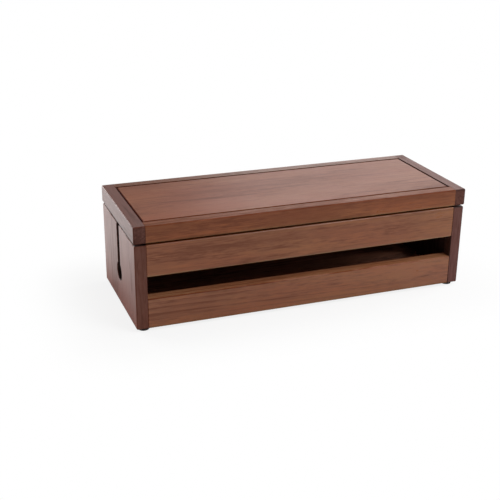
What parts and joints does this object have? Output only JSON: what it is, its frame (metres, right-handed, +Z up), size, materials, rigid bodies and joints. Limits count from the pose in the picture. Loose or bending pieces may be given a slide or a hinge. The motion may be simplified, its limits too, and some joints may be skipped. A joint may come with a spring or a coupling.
{
  "type": "cable management box",
  "caption": "Long wooden box with a lift-off frame-and-panel lid, an open slot along the front and a cable keyhole in each end, on small rubber feet.",
  "frame": {"origin": "on the surface the box stands on, midway between its ends and between its front and back", "axes": "+X along the box to the right, -Y out of the slotted front, +Z up"},
  "size_m": [0.377, 0.143, 0.115],
  "materials": {
    "walnut_rail": "satin lacquered walnut",
    "walnut_end": "satin lacquered dark walnut",
    "walnut_panel": "satin lacquered walnut",
    "walnut_inside": "matt stained walnut",
    "beech": "raw turned beech",
    "rubber": "matt black rubber"
  },
  "bodies": {
    "box": {"left_end_board": "walnut_end", "right_end_board": "walnut_end", "front_upper_rail": "walnut_rail", "front_lower_rail": "walnut_rail", "back_board": "walnut_rail", "floor_panel": "walnut_inside", "front_upper_dowels": "beech", "front_lower_dowels": "beech", "foot_front_left": "rubber", "foot_front_right": "rubber", "foot_back_left": "rubber", "foot_back_right": "rubber"},
    "lid": {"lid_left_rail": "walnut_end", "lid_right_rail": "walnut_end", "lid_front_rail": "walnut_rail", "lid_back_rail": "walnut_rail", "lid_panel": "walnut_panel", "lid_front_lip": "walnut_inside", "lid_back_lip": "walnut_inside", "lid_dowels": "beech", "lid_bumper_front_left": "rubber", "lid_bumper_front_right": "rubber", "lid_bumper_back_left": "rubber", "lid_bumper_back_right": "rubber"}
  },
  "joints": [
    {"name": "lid_lift", "type": "slide", "parent": "box", "child": "lid", "axis": [0, 0, 1], "range_m": [0, 0.12]}
  ]
}
